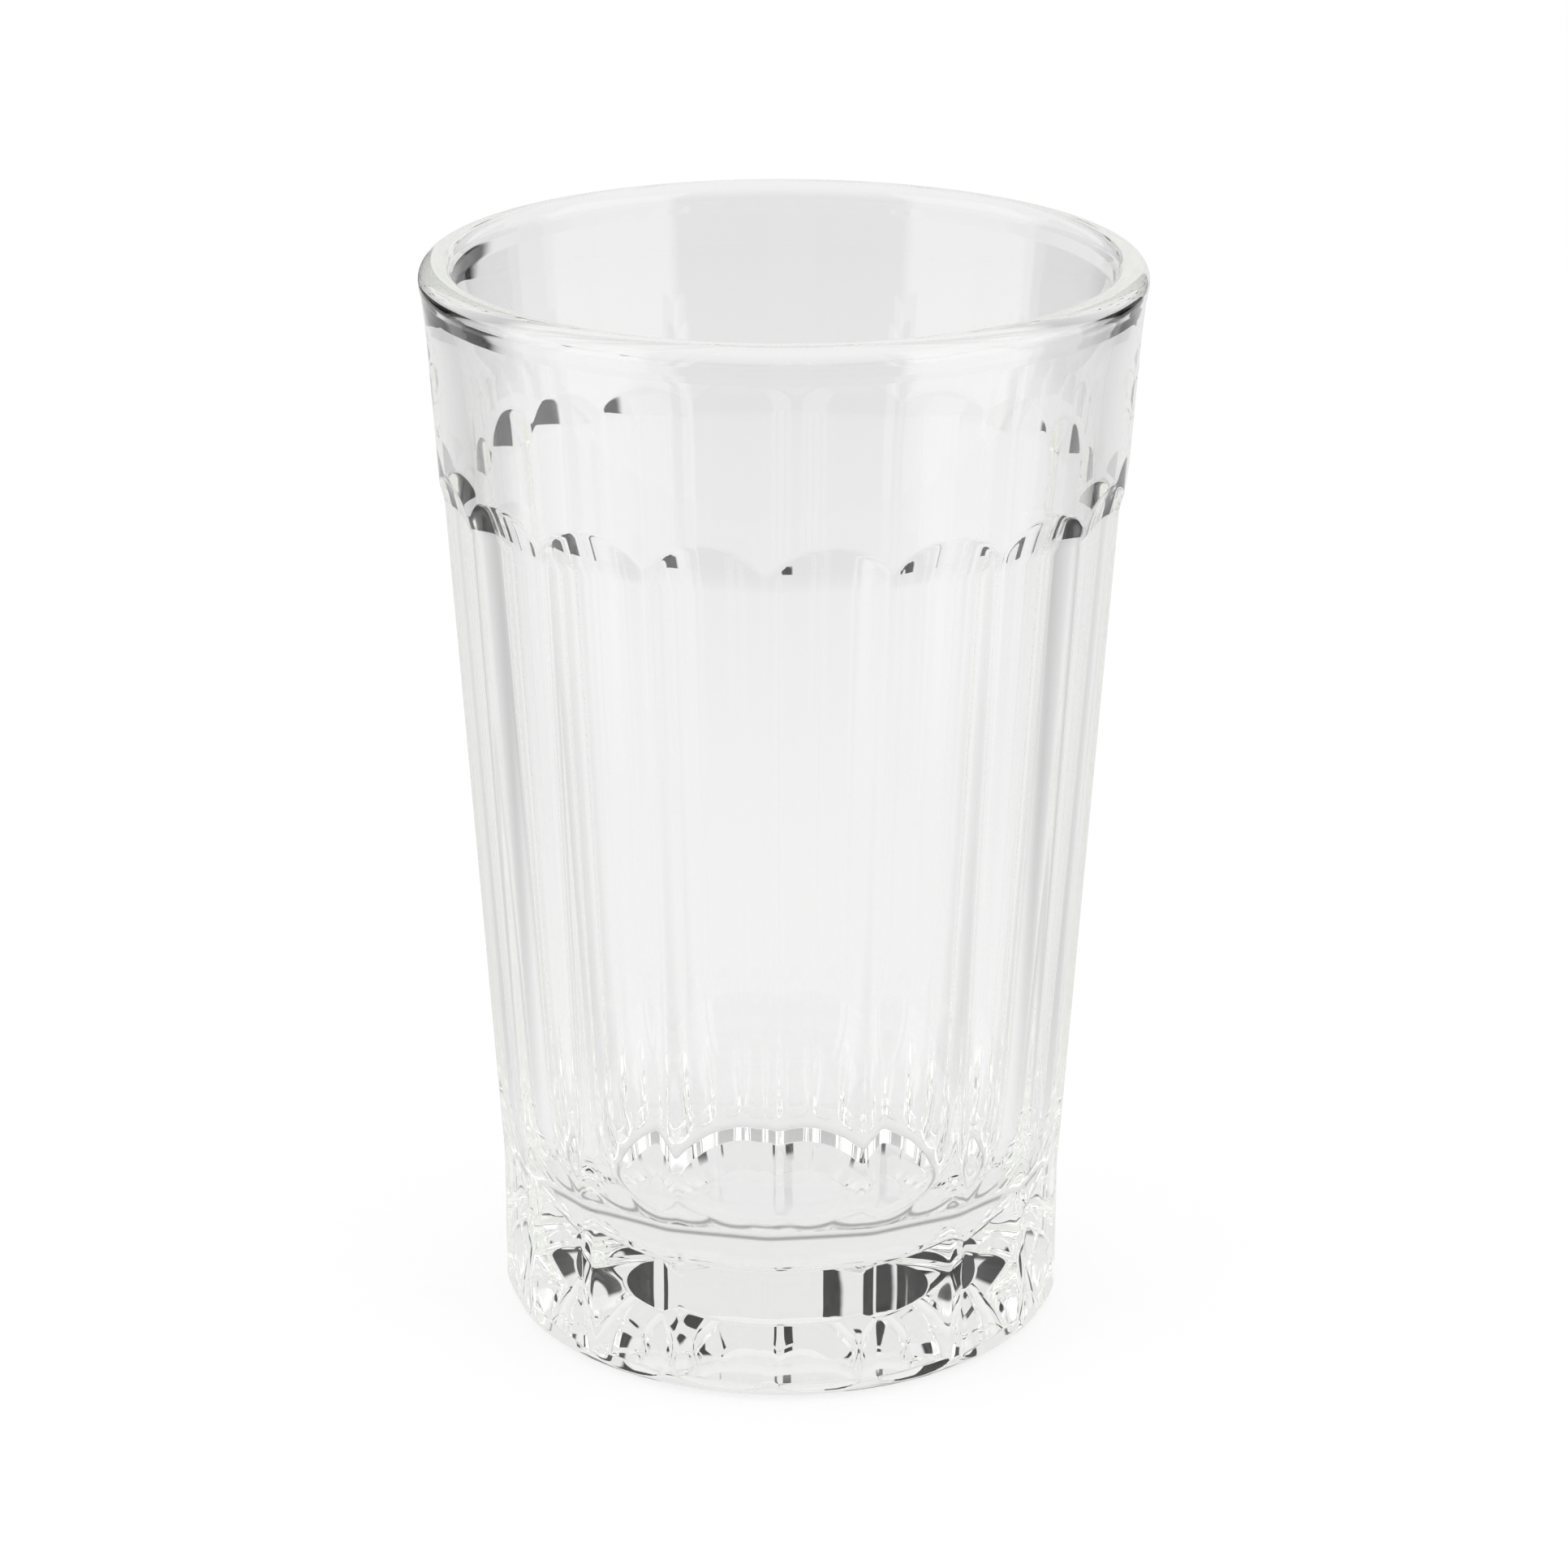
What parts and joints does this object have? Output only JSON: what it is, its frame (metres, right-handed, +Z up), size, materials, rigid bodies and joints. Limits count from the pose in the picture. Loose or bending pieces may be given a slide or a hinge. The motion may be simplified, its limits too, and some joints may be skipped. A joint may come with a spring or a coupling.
{
  "type": "juice glass",
  "caption": "Clear pressed-glass juice tumbler with a rounded lip, a smooth drinking band, tall arched panels down the wall and a heavy foot with a shallow push-up.",
  "frame": {"origin": "centre of the foot on the table", "axes": "+Z up along the axis of the glass, +X through the middle of a panel"},
  "size_m": [0.07, 0.07, 0.108],
  "materials": {
    "clear_glass": "clear fire-polished soda-lime glass"
  },
  "bodies": {
    "root": {"tumbler": "clear_glass"}
  },
  "joints": []
}
